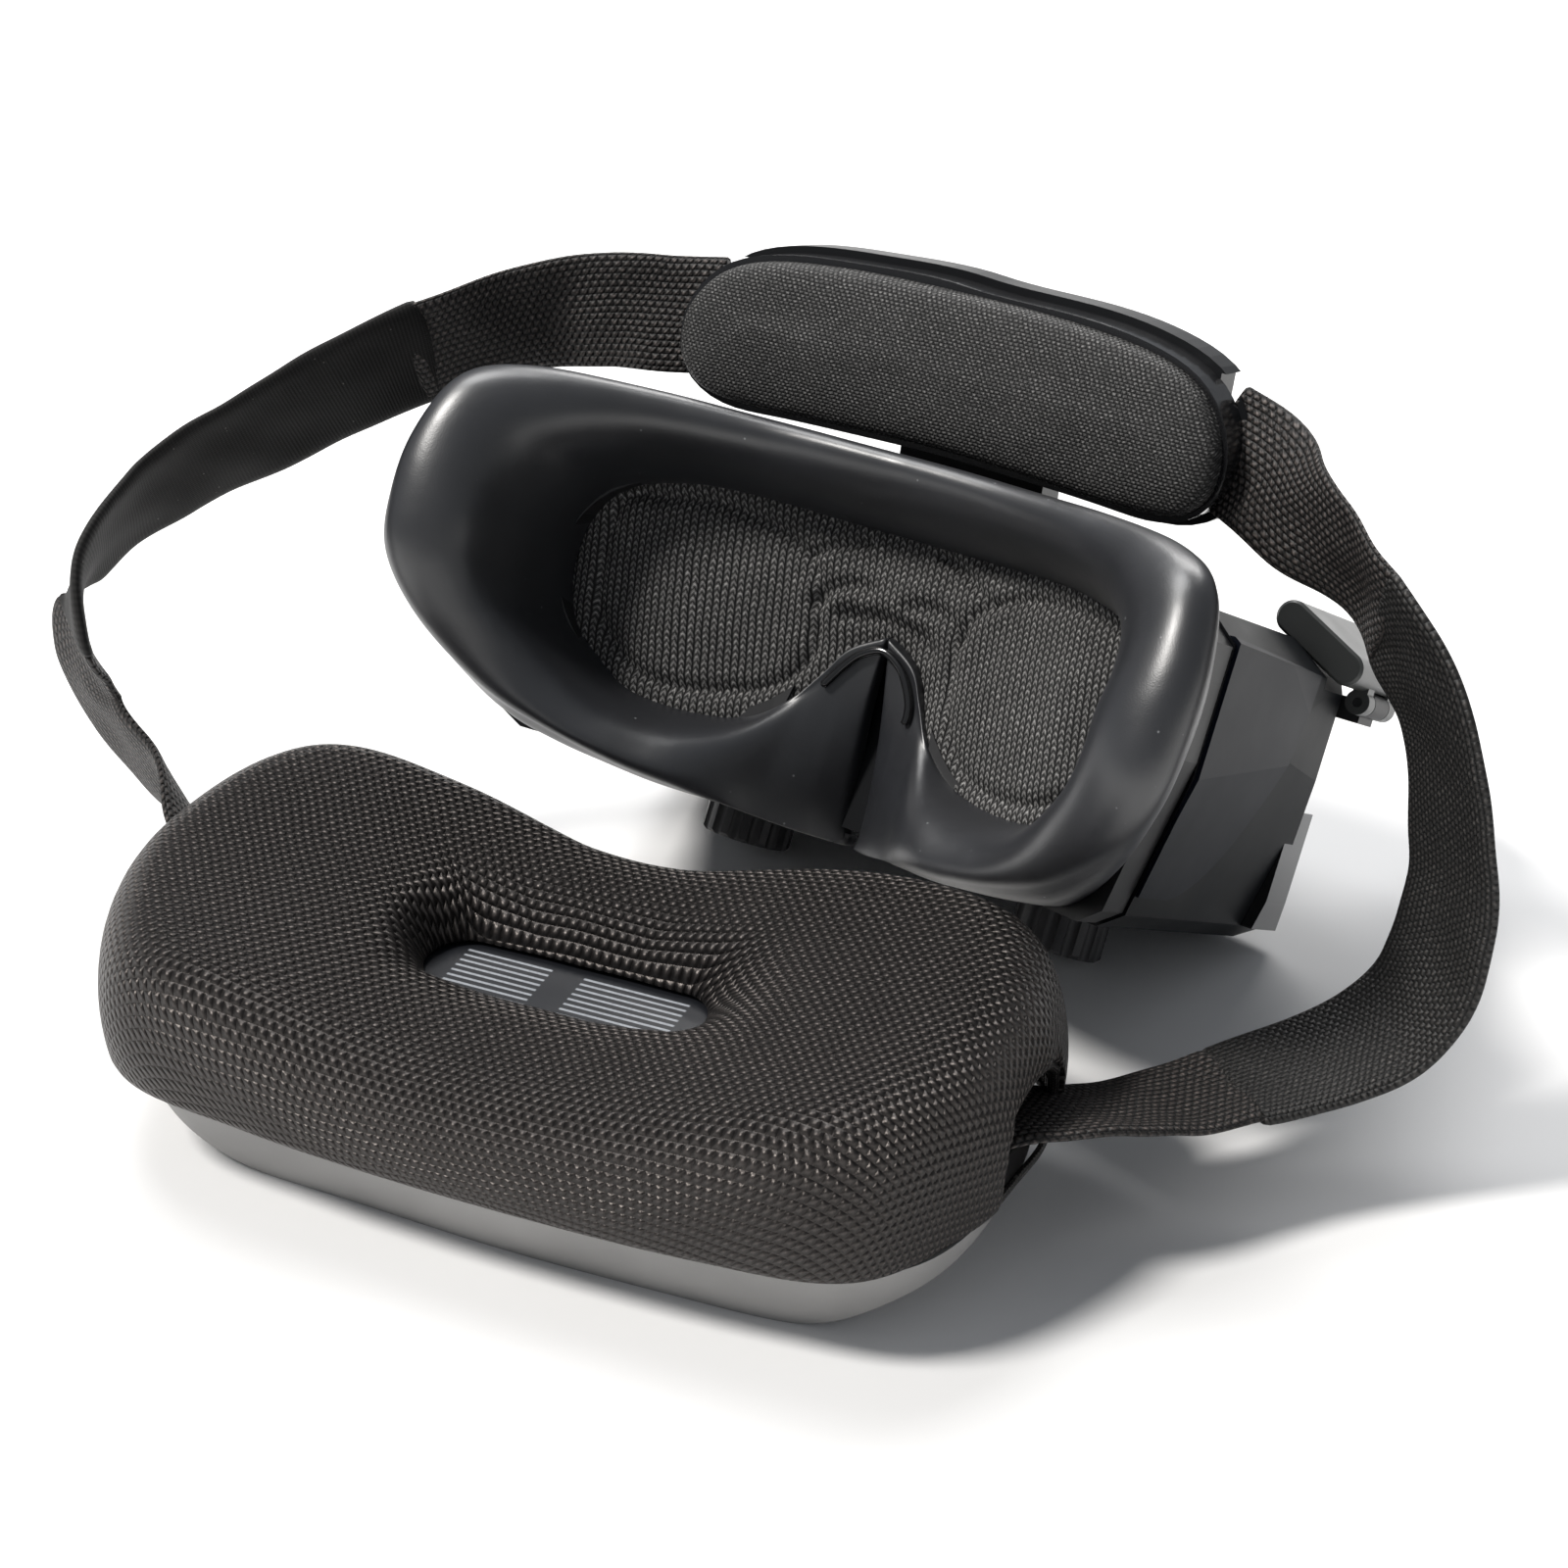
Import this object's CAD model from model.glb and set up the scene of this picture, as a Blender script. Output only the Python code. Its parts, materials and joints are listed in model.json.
import bmesh
import bpy
import json
import math
from mathutils import Matrix, Vector, noise


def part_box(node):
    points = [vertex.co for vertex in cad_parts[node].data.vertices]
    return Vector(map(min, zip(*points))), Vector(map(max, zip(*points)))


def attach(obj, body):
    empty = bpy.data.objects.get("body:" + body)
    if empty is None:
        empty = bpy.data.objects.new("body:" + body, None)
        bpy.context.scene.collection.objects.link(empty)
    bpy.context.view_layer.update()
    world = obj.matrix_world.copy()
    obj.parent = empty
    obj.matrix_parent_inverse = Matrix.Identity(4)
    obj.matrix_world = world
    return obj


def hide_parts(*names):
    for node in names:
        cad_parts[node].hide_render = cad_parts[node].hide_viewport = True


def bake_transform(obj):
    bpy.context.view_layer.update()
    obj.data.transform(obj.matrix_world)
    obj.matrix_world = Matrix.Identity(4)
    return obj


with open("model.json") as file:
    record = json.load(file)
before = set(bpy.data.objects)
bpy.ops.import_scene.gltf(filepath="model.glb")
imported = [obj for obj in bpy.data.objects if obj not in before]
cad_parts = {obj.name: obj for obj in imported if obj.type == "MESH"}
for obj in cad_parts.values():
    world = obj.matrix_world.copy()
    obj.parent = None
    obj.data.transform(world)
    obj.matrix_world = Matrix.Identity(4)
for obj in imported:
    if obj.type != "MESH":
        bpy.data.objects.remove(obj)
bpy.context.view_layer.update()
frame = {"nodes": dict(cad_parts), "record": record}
NODES = frame["nodes"]
noise.seed_set(5)    # the unevenness of the soft pieces is the same each run

# Positions below are worked out in millimetres in two local frames, and placed in the shared frame.
#   G: goggles frame. x to the wearer's right, y forward, z up.
#   P: pack frame. Middle of the pack's flat bottom, x along the pack, z up.
NOSE_DOWN = math.radians(31.3)
GOGGLES_AT = Vector((7.9, 32.4, 62.05))
PACK_AT = Vector((-1.8, -67.1, 0.0))
PACK_YAW = math.radians(10.0)
BELOW_GOGGLES = Vector((GOGGLES_AT.x, GOGGLES_AT.y, 0.0))
TO_WORLD_G = Matrix.Translation(GOGGLES_AT) @ Matrix.Rotation(-NOSE_DOWN, 4, "X")
TO_WORLD_P = Matrix.Translation(PACK_AT) @ Matrix.Rotation(PACK_YAW, 4, "Z")
MM = 0.001


def lerp(a, b, t):
    """Value a share t of the way from a to b."""
    return a + (b - a) * t


def smooth(t, low=0.0, high=1.0):
    """0 below low, 1 above high, with a soft rise between."""
    t = min(max((t - low) / (high - low), 0.0), 1.0)
    return t * t * (3 - 2 * t)


def catmull(points, per):
    """Smooth curve through the points (any dimension), with `per` steps a span."""
    pts = [Vector(p) for p in points]
    pts = [pts[0] * 2 - pts[1]] + pts + [pts[-1] * 2 - pts[-2]]
    out = []
    for i in range(1, len(pts) - 2):
        a, b, c, d = pts[i - 1:i + 3]
        for k in range(per):
            t = k / per
            out.append(0.5 * (2 * b + (c - a) * t + (2 * a - 5 * b + 4 * c - d) * t * t
                              + (3 * b - a - 3 * c + d) * t ** 3))
    out.append(pts[-2])
    return out


def closed_catmull(points, per):
    """The same kind of curve, closed on itself."""
    pts = [Vector(p) for p in points]
    n = len(pts)
    out = []
    for i in range(n):
        a, b, c, d = (pts[(i + j - 1) % n] for j in range(4))
        for k in range(per):
            t = k / per
            out.append(0.5 * (2 * b + (c - a) * t + (2 * a - 5 * b + 4 * c - d) * t * t
                              + (3 * b - a - 3 * c + d) * t ** 3))
    return out


def grid_object(name, rows, uvs=None, wrap_u=False, wrap_v=False, caps=False, place=None):
    """Mesh over a grid of points in millimetres. rows[i][j]; uvs the same shape, in millimetres."""
    n, m = len(rows), len(rows[0])
    verts = []
    for row in rows:
        for p in row:
            q = Vector(p)
            if place is not None:
                q = place @ q
            verts.append(q * MM)
    faces, face_uv = [], []
    for i in range(n if wrap_u else n - 1):
        for j in range(m if wrap_v else m - 1):
            i2, j2 = (i + 1) % n, (j + 1) % m
            faces.append((i * m + j, i2 * m + j, i2 * m + j2, i * m + j2))
            face_uv.append(((i, j), (i + 1, j), (i + 1, j + 1), (i, j + 1)))
    if caps:
        faces.append(tuple(j for j in range(m)))
        face_uv.append(None)
        faces.append(tuple((n - 1) * m + j for j in reversed(range(m))))
        face_uv.append(None)
    mesh = bpy.data.meshes.new(name)
    mesh.from_pydata(verts, [], faces)
    layer = mesh.uv_layers.new(name="UVMap")
    if uvs is not None:
        for poly, quad in zip(mesh.polygons, face_uv):
            if quad is None:
                continue
            for loop, (a, b) in zip(poly.loop_indices, quad):
                u = uvs[a if a < n else a - n][b if b < m else b - m]
                layer.data[loop].uv = (u[0], u[1])
    mesh.shade_smooth()
    obj = bpy.data.objects.new(name, mesh)
    bpy.context.scene.collection.objects.link(obj)
    return obj


def subdivide(obj, levels):
    mod = obj.modifiers.new("Subdivision", "SUBSURF")
    mod.levels = levels
    mod.render_levels = levels
    return obj


def tube(name, points, radius, sides=8, place=None, squash=1.0):
    """Round bead along points in millimetres."""
    rows, uvs = [], []
    run = 0.0
    normal = Vector((0, 0, 1))
    for i, p in enumerate(points):
        a = points[max(i - 1, 0)]
        b = points[min(i + 1, len(points) - 1)]
        along = (b - a).normalized()
        side = along.cross(normal)
        side = side.normalized() if side.length > 1e-4 else along.orthogonal().normalized()
        up = side.cross(along).normalized()
        normal = up
        if i:
            run += (p - points[i - 1]).length
        taper = min(1.0, 0.35 + 1.3 * min(i, len(points) - 1 - i))
        ring = []
        for k in range(sides):
            w = 2 * math.pi * k / sides
            ring.append(p + (side * math.cos(w) + up * math.sin(w) * squash) * radius * taper)
        rows.append(ring)
        uvs.append([(run, k) for k in range(sides)])
    return grid_object(name, rows, uvs, wrap_v=True, caps=True, place=place)


# ------------------------------------------------------------------ camera
CAMERA_AT = Vector((278.0, -416.9, 355.65)) * MM
RIGHT = Vector((0.835, 0.550, 0.0)).normalized()
UP = Vector((-0.288, 0.436, 0.853)).normalized()
camera_data = bpy.data.cameras.new("camera")
camera = bpy.data.objects.new("camera", camera_data)
bpy.context.scene.collection.objects.link(camera)
back = RIGHT.cross(UP).normalized()
UP = back.cross(RIGHT).normalized()
camera.matrix_world = Matrix.Translation(CAMERA_AT) @ Matrix((RIGHT, UP, back)).transposed().to_4x4()
camera_data.sensor_width = 36.0
camera_data.lens = 67.23
camera_data.clip_start = 0.01
camera_data.clip_end = 20.0
bpy.context.scene.camera = camera


# ------------------------------------------------------------------ materials
class Value:
    """A number inside a node tree, so that a pattern can be written as a sum."""

    def __init__(self, tree, socket):
        self.tree = tree
        self.socket = socket

    def make(self, operation, *others):
        node = self.tree.nodes.new("ShaderNodeMath")
        node.operation = operation
        for i, item in enumerate((self,) + others):
            if isinstance(item, Value):
                self.tree.links.new(item.socket, node.inputs[i])
            else:
                node.inputs[i].default_value = float(item)
        return Value(self.tree, node.outputs[0])

    def __add__(self, other):
        return self.make("ADD", other)

    def __sub__(self, other):
        return self.make("SUBTRACT", other)

    def __mul__(self, other):
        return self.make("MULTIPLY", other)

    def __truediv__(self, other):
        return self.make("DIVIDE", other)

    def frac(self):
        return self.make("FRACT")

    def floor(self):
        return self.make("FLOOR")

    def abs(self):
        return self.make("ABSOLUTE")

    def sin(self):
        return self.make("SINE")

    def power(self, other):
        return self.make("POWER", other)

    def maximum(self, other):
        return self.make("MAXIMUM", other)

    def modulo(self, other):
        return self.make("FLOORED_MODULO", other)

    def step(self, low, high):
        """0 at low, 1 at high, with a soft rise between."""
        node = self.tree.nodes.new("ShaderNodeMapRange")
        node.interpolation_type = "SMOOTHSTEP"
        self.tree.links.new(self.socket, node.inputs["Value"])
        node.inputs["From Min"].default_value = low
        node.inputs["From Max"].default_value = high
        return Value(self.tree, node.outputs["Result"])


class Material:
    """A Principled material, with short ways to lay patterns in millimetres over it."""

    def __init__(self, name, color, roughness, metallic=0.0):
        self.material = bpy.data.materials.new(name)
        self.material.use_nodes = True
        self.tree = self.material.node_tree
        self.shader = self.tree.nodes["Principled BSDF"]
        self.set("Base Color", (*color, 1.0))
        self.set("Roughness", roughness)
        self.set("Metallic", metallic)
        self.material.diffuse_color = (*color, 1.0)

    def set(self, name, value):
        self.shader.inputs[name].default_value = value

    def link(self, name, value):
        self.tree.links.new(value.socket if isinstance(value, Value) else value, self.shader.inputs[name])

    def object_mm(self):
        node = self.tree.nodes.new("ShaderNodeTexCoord")
        scale = self.tree.nodes.new("ShaderNodeVectorMath")
        scale.operation = "SCALE"
        scale.inputs["Scale"].default_value = 1000.0
        self.tree.links.new(node.outputs["Object"], scale.inputs[0])
        return scale.outputs[0]

    def uv(self):
        """The two UV values, in millimetres."""
        node = self.tree.nodes.new("ShaderNodeUVMap")
        node.uv_map = "UVMap"
        split = self.tree.nodes.new("ShaderNodeSeparateXYZ")
        self.tree.links.new(node.outputs[0], split.inputs[0])
        return Value(self.tree, split.outputs[0]), Value(self.tree, split.outputs[1])

    def uv_vector(self):
        node = self.tree.nodes.new("ShaderNodeUVMap")
        node.uv_map = "UVMap"
        return node.outputs[0]

    def noise(self, vector, pitch, detail=2.0, rough=0.5):
        """Soft noise from 0 to 1, with lumps of about pitch millimetres."""
        node = self.tree.nodes.new("ShaderNodeTexNoise")
        node.inputs["Scale"].default_value = 1.0 / pitch
        node.inputs["Detail"].default_value = detail
        node.inputs["Roughness"].default_value = rough
        self.tree.links.new(vector, node.inputs["Vector"])
        return Value(self.tree, node.outputs["Fac"])

    def cells(self, vector, pitch, feature="F1"):
        """Distance in a cell pattern of about pitch millimetres."""
        node = self.tree.nodes.new("ShaderNodeTexVoronoi")
        node.feature = feature
        node.inputs["Scale"].default_value = 1.0 / pitch
        self.tree.links.new(vector, node.inputs["Vector"])
        return Value(self.tree, node.outputs["Distance"])

    def ramp(self, value, stops):
        """Colour for a value, from (value, colour) stops."""
        node = self.tree.nodes.new("ShaderNodeValToRGB")
        ramp = node.color_ramp
        ramp.elements[0].position, ramp.elements[0].color = stops[0][0], (*stops[0][1], 1.0)
        ramp.elements[1].position, ramp.elements[1].color = stops[-1][0], (*stops[-1][1], 1.0)
        for position, color in stops[1:-1]:
            ramp.elements.new(position).color = (*color, 1.0)
        self.tree.links.new(value.socket, node.inputs[0])
        return node.outputs["Color"]

    def bump(self, height, distance_mm, strength=1.0):
        """Add relief on top of any relief that is there already."""
        node = self.tree.nodes.new("ShaderNodeBump")
        node.inputs["Strength"].default_value = strength
        node.inputs["Distance"].default_value = distance_mm * MM
        self.tree.links.new(height.socket, node.inputs["Height"])
        previous = self.shader.inputs["Normal"]
        if previous.is_linked:
            self.tree.links.new(previous.links[0].from_socket, node.inputs["Normal"])
        self.tree.links.new(node.outputs["Normal"], self.shader.inputs["Normal"])


def plastic(name, color, roughness, grain=0.35, grain_depth=0.012, spread=0.06, coat=0.0, shine=0.5):
    """Moulded plastic: fine grain and a slightly uneven sheen."""
    m = Material(name, color, roughness)
    at = m.object_mm()
    fine = m.noise(at, grain, 2.0)
    wide = m.noise(at, 14.0, 3.0)
    m.link("Roughness", wide * spread * 2 + (roughness - spread))
    tint = m.noise(at, 30.0, 2.0)
    dark = tuple(c * 0.85 for c in color)
    light = tuple(c * 1.15 for c in color)
    m.link("Base Color", m.ramp(tint, [(0.3, dark), (0.7, light)]))
    m.set("Specular IOR Level", shine)
    m.bump(fine, grain_depth)
    if coat:
        m.set("Coat Weight", coat)
        m.set("Coat Roughness", 0.08)
    return m


def elastomer():
    """Soft satin skin of the mask, with a fine grain and a few dust specks."""
    m = Material("mask_elastomer", (0.016, 0.018, 0.022), 0.42)
    at = m.object_mm()
    grain = m.noise(at, 0.28, 1.0)
    smudge = m.noise(at, 16.0, 4.0, 0.6)
    m.link("Roughness", smudge * 0.16 + 0.29)
    speck = m.cells(at, 4.2)
    near = speck.step(0.075, 0.03)
    rare = m.noise(at, 9.0, 0.0).step(0.5, 0.62)
    dust = near * rare
    body = m.noise(at, 25.0, 3.0)
    base = m.ramp(body, [(0.3, (0.0135, 0.0142, 0.0165)), (0.7, (0.0215, 0.0228, 0.0268))])
    mix = m.tree.nodes.new("ShaderNodeMix")
    mix.data_type = "RGBA"
    m.tree.links.new((dust * 0.55).socket, mix.inputs[0])
    m.tree.links.new(base, mix.inputs[6])
    mix.inputs[7].default_value = (0.32, 0.33, 0.34, 1.0)
    m.link("Base Color", mix.outputs[2])
    m.set("Specular IOR Level", 0.95)
    m.bump(grain, 0.02)
    m.bump(m.noise(at, 6.0, 2.0), 0.12, 0.5)
    return m


def knit(name, pitch_u, pitch_v, dark, middle, light, depth):
    """Ribbed knit: columns of slanted two-thread stitches, with dark gaps between them."""
    m = Material(name, light, 0.6)
    u, v = m.uv()
    wob = m.noise(m.uv_vector(), 4.0, 1.0)
    u = u + wob * 0.5
    v = v + wob * 0.5
    column = (u / pitch_u).floor()
    side = ((u / pitch_u).frac() - 0.5)
    a = side.abs() * 2
    b = v / pitch_v + a * 0.75 + column.modulo(2) * 0.5
    stitch = ((b * math.pi).sin()).abs().power(0.7)
    thread = ((b * (3 * math.pi)).sin()).abs() * 0.35 + 0.65
    rib = (a * -1 + 1).step(0.02, 0.42)
    height = stitch * thread * rib
    fuzz = m.noise(m.uv_vector(), 0.3, 2.0)
    glint = m.noise(m.uv_vector(), 0.7, 1.0).step(0.5, 0.7)
    tone = m.noise(m.uv_vector(), 11.0, 2.0)
    shade = height * 0.66 + height * glint * 0.3 + tone * 0.10 + fuzz * 0.16 - 0.08
    m.link("Base Color", m.ramp(shade, [(0.16, dark), (0.5, middle), (0.92, light)]))
    m.set("Specular IOR Level", 0.4)
    m.bump(height * 0.85 + fuzz * 0.25, depth)
    return m


def pebble(name, pitch, dark, middle, light, depth):
    """Close twill-like knit of small staggered knots."""
    m = Material(name, light, 0.6)
    u, v = m.uv()
    wob = m.noise(m.uv_vector(), 3.0, 1.0)
    u = u + wob * 0.5
    v = v + wob * 0.5
    line = pitch * 0.62
    row = (v / line).floor()
    a = ((u / pitch + row * 0.38).frac() - 0.5).abs() * 2
    b = ((v / line).frac() - 0.5).abs() * 2
    knot = ((a * a * -1 + 1) * (b * b * -1 + 1)).maximum(0.0).power(0.8)
    fuzz = m.noise(m.uv_vector(), 0.28, 2.0)
    glint = m.noise(m.uv_vector(), 0.6, 1.0).step(0.45, 0.68)
    tone = m.noise(m.uv_vector(), 13.0, 2.0)
    shade = knot * 0.42 + knot * glint * 0.4 + fuzz * 0.28 + tone * 0.12 - 0.08
    m.link("Base Color", m.ramp(shade, [(0.16, dark), (0.5, middle), (0.95, light)]))
    m.set("Specular IOR Level", 0.4)
    m.bump(knot * 0.8 + fuzz * 0.4, depth)
    return m


def spacer_mesh():
    """Coarse spacer mesh of the pack's cover: staggered rounded bumps with dark pores between."""
    m = Material("spacer_mesh", (0.05, 0.045, 0.042), 0.45)
    u, v = m.uv()
    wob = m.noise(m.uv_vector(), 24.0, 1.0)
    u = u + wob * 1.4
    v = v + wob * 0.9
    column, line = 2.1, 1.34
    row = (v / line).floor()
    a = ((u / column + row.modulo(2) * 0.5).frac() - 0.5).abs() * 2
    b = ((v / line).frac() - 0.5).abs() * 2
    round_bump = ((a * a * -1 + 1) * (b * b * -1 + 1)).maximum(0.0)
    strand = m.noise(m.uv_vector(), 0.45, 2.0)
    height = round_bump * 0.9 + strand * 0.16
    tone = m.noise(m.uv_vector(), 26.0, 3.0)
    shade = round_bump * 0.62 + tone * 0.22 + strand * 0.34 - 0.12
    m.link("Base Color", m.ramp(shade, [(0.22, (0.0008, 0.0008, 0.0009)), (0.5, (0.005, 0.0048, 0.005)),
                                        (0.74, (0.020, 0.0178, 0.0172)), (1.0, (0.095, 0.082, 0.076))]))
    m.link("Roughness", strand * 0.25 + 0.28)
    m.set("Specular IOR Level", 0.6)
    m.set("Specular Tint", (1.0, 0.90, 0.85, 1.0))
    m.bump(height, 0.75)
    return m


def webbing(name, dark, light, pitch=1.2, depth=0.32):
    """Coarse basket-woven webbing: pairs of threads crossing, with dark pores."""
    m = Material(name, light, 0.55)
    u, v = m.uv()
    wob = m.noise(m.uv_vector(), 6.0, 1.0)
    u = u + wob * 0.9
    v = v + wob * 0.6
    row = (v / pitch).floor()
    a = ((u / (pitch * 1.3) + row.modulo(2) * 0.5).frac() - 0.5).abs() * 2
    b = ((v / pitch).frac() - 0.5).abs() * 2
    knot = ((a * a * -1 + 1) * (b * b * -1 + 1)).maximum(0.0)
    ply = (u * 7.0 + v * 6.0).sin() * 0.08 + 0.08
    fuzz = m.noise(m.uv_vector(), 0.4, 2.0)
    glint = m.noise(m.uv_vector(), 0.9, 1.0).step(0.48, 0.7)
    shade = knot * 0.5 + knot * glint * 0.35 + ply + fuzz * 0.22 - 0.12
    middle = tuple(lerp(d, l, 0.22) for d, l in zip(dark, light))
    m.link("Base Color", m.ramp(shade, [(0.15, dark), (0.5, middle), (0.95, light)]))
    m.set("Specular IOR Level", 0.4)
    m.bump(knot + ply + fuzz * 0.3, depth)
    return m


def sleeve_cloth():
    """Smooth close-woven elastic, finely ribbed across."""
    m = Material("sleeve_cloth", (0.02, 0.019, 0.019), 0.7)
    u, v = m.uv()
    rib = ((u * (2 * math.pi / 0.75)).sin() * 0.5 + 0.5)
    thread = ((v * (2 * math.pi / 0.5)).sin() * 0.5 + 0.5)
    fuzz = m.noise(m.uv_vector(), 0.6, 2.0)
    lint = m.cells(m.uv_vector(), 2.6).step(0.12, 0.03) * m.noise(m.uv_vector(), 5.0, 0.0).step(0.45, 0.6)
    tone = m.noise(m.uv_vector(), 12.0, 3.0)
    shade = rib * 0.3 + thread * 0.12 + fuzz * 0.25 + tone * 0.3 + lint * 0.6
    m.link("Base Color", m.ramp(shade, [(0.2, (0.003, 0.003, 0.003)), (0.75, (0.016, 0.015, 0.0145)),
                                        (1.0, (0.10, 0.095, 0.09))]))
    m.set("Sheen Weight", 0.05)
    m.set("Specular IOR Level", 0.25)
    m.bump(rib * 0.7 + thread * 0.3 + fuzz * 0.4, 0.09)
    return m


def ruled_plate():
    """Dark plate with plain pale rules across it, in place of printing."""
    m = Material("ruled_plate", (0.012, 0.013, 0.015), 0.3)
    at = m.object_mm()
    split = m.tree.nodes.new("ShaderNodeSeparateXYZ")
    m.tree.links.new(at, split.inputs[0])
    x, y = Value(m.tree, split.outputs[0]), Value(m.tree, split.outputs[1])
    x, y = x - PACK_AT.x, y - PACK_AT.y
    along = x * math.cos(PACK_YAW) + y * math.sin(PACK_YAW)
    across = x * -math.sin(PACK_YAW) + y * math.cos(PACK_YAW)
    rule = ((across / 1.7).frac() - 0.5).abs().step(0.20, 0.15)
    gap = (along + 2.0).abs().step(3.2, 3.5)
    column = gap * along.abs().step(23.5, 23.0) * across.abs().step(7.4, 7.2)
    grit = m.noise(at, 0.5, 1.0) * 0.5 + 0.5
    ink = rule * column * grit
    m.link("Base Color", m.ramp(ink, [(0.0, (0.012, 0.013, 0.016)), (1.0, (0.36, 0.38, 0.41))]))
    m.bump(grit, 0.01)
    return m


def metal(name, color, roughness):
    """Bare metal with a fine uneven finish."""
    m = Material(name, color, roughness, 1.0)
    at = m.object_mm()
    lines = m.noise(at, 0.2, 2.0)
    m.link("Roughness", lines * 0.2 + (roughness - 0.1))
    m.bump(lines, 0.006)
    return m


def board():
    """Green circuit board with darker tracks."""
    m = Material("circuit_board", (0.015, 0.06, 0.03), 0.35)
    at = m.object_mm()
    trace = m.cells(at, 3.0, "DISTANCE_TO_EDGE").step(0.06, 0.1)
    m.link("Base Color", m.ramp(trace, [(0.0, (0.03, 0.12, 0.06)), (1.0, (0.01, 0.045, 0.022))]))
    m.bump(trace, 0.03)
    return m


def glass(name, color, roughness=0.03, clear=0.9):
    """Clear or smoked glass, coated."""
    m = Material(name, color, roughness)
    at = m.object_mm()
    m.link("Roughness", m.noise(at, 8.0, 2.0) * 0.04 + roughness)
    m.set("Transmission Weight", clear)
    m.set("Coat Weight", 0.6)
    m.set("IOR", 1.5)
    return m


MAT = {
    "mask": elastomer(),
    "cover_knit": knit("cover_knit", 1.5, 1.4, (0.001, 0.001, 0.001), (0.075, 0.0735, 0.072),
                       (0.42, 0.41, 0.40), 0.42),
    "pad_knit": pebble("pad_knit", 1.15, (0.0015, 0.0015, 0.0015), (0.036, 0.0352, 0.0345),
                       (0.22, 0.214, 0.21), 0.28),
    "spacer": spacer_mesh(),
    "web": webbing("web", (0.0012, 0.0011, 0.0011), (0.15, 0.125, 0.115), 1.35, 0.4),
    "web_dark": webbing("web_dark", (0.001, 0.001, 0.001), (0.07, 0.064, 0.06), 1.1, 0.25),
    "sleeve": sleeve_cloth(),
    "binding": webbing("binding", (0.003, 0.0028, 0.0027), (0.12, 0.105, 0.095), 0.7, 0.15),
    "shell": plastic("shell", (0.004, 0.0045, 0.0055), 0.46, 0.3, 0.012, shine=0.14),
    "front_shell": plastic("front_shell", (0.006, 0.007, 0.0085), 0.46, 0.3, 0.014, shine=0.12),
    "side_panel": plastic("side_panel", (0.003, 0.0045, 0.009), 0.42, 0.4, 0.006, shine=0.14),
    "gloss": plastic("gloss", (0.006, 0.006, 0.0065), 0.14, 0.6, 0.002, coat=0.6),
    "rim": plastic("rim", (0.008, 0.008, 0.009), 0.2, 0.5, 0.003, coat=0.4),
    "plate": plastic("plate", (0.007, 0.0075, 0.0085), 0.3, 0.4, 0.008, shine=0.35),
    "knob": plastic("knob", (0.022, 0.022, 0.024), 0.46, 0.25, 0.03),
    "button": plastic("button", (0.03, 0.03, 0.032), 0.4, 0.25, 0.015),
    "antenna": plastic("antenna", (0.060, 0.062, 0.060), 0.36, 0.35, 0.012),
    "pack_shell": plastic("pack_shell", (0.285, 0.28, 0.275), 0.48, 0.35, 0.03, spread=0.08),
    "inner": plastic("inner", (0.012, 0.012, 0.013), 0.5, 0.4, 0.01),
    "label": ruled_plate(),
    "cell": plastic("cell", (0.05, 0.16, 0.28), 0.3, 0.5, 0.004),
    "steel": metal("steel", (0.55, 0.55, 0.56), 0.3),
    "aluminium": metal("aluminium", (0.7, 0.7, 0.72), 0.38),
    "copper": metal("copper", (0.75, 0.42, 0.25), 0.35),
    "board": board(),
    "lens": glass("lens", (0.8, 0.86, 0.9)),
    "window": glass("window", (0.05, 0.05, 0.06), 0.04, 0.6),
    "display": glass("display", (0.01, 0.01, 0.014), 0.05, 0.1),
}
SLOT_LOOK = {
    "shell": "shell", "front_shell": "front_shell", "side_panel": "side_panel", "visor": "gloss",
    "window": "window", "steel": "steel", "aluminium": "aluminium", "board": "board",
    "inner_plastic": "inner", "button": "button", "port": "steel", "lens": "lens", "display": "display",
    "knob": "knob", "mask": "mask", "knit": "cover_knit", "antenna": "antenna", "copper": "copper",
    "pad": "pad_knit", "rim": "rim", "plate": "plate", "strap": "web", "pack_fabric": "spacer",
    "pack_shell": "pack_shell", "label": "label", "cell": "cell",
}
for entry in frame["record"]["subparts"]:
    node = NODES[entry["node"]]
    look = MAT[SLOT_LOOK[entry["material_slot"]]].material
    if not node.material_slots:
        node.data.materials.append(look)
    for held in node.material_slots:
        held.material = look


def finish_piece(obj, look, body=None):
    """Give a piece its material and slot, and the body it rides."""
    obj.data.materials.append(MAT[look].material)
    if body:
        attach(obj, body)
    return obj


# ------------------------------------------------------------------ face mask
# Three outlines round the right half, from the slit at the nose to the top middle: the opening's
# edge, the outermost line of the rolled lip, and the seam against the housing.
OPENING = [(0.5, 6.4), (7.6, 2.2), (11.6, -4.2), (16.4, -11.4), (24.5, -17.8), (36, -20.3), (48, -19.6),
           (56, -15.6), (63, -9.8), (66.4, -2), (66.9, 6), (66, 13), (61, 20.4), (51, 24.4), (38, 26.4),
           (20, 26.9), (0, 26.9)]
LIP = [(0.5, -37.6), (8, -37.2), (15, -36.4), (21, -35.6), (28, -34.8), (39, -33.9), (53, -31.2),
       (66, -26.6), (79, -17.2), (86.9, -6), (88.9, 6), (88, 20), (83, 33.2), (72, 38.7), (52, 41),
       (27, 41.9), (0, 42)]
SEAM = [(0.5, -35.2), (8, -34.9), (15, -34.4), (21, -34.2), (28, -34.2), (38, -34.0), (52, -33.4),
        (63, -31), (72, -22), (76, -10), (79, 5), (79.6, 15), (77.5, 24), (66, 29), (50, 30.4),
        (27, 30.6), (0, 30.6)]
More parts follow.
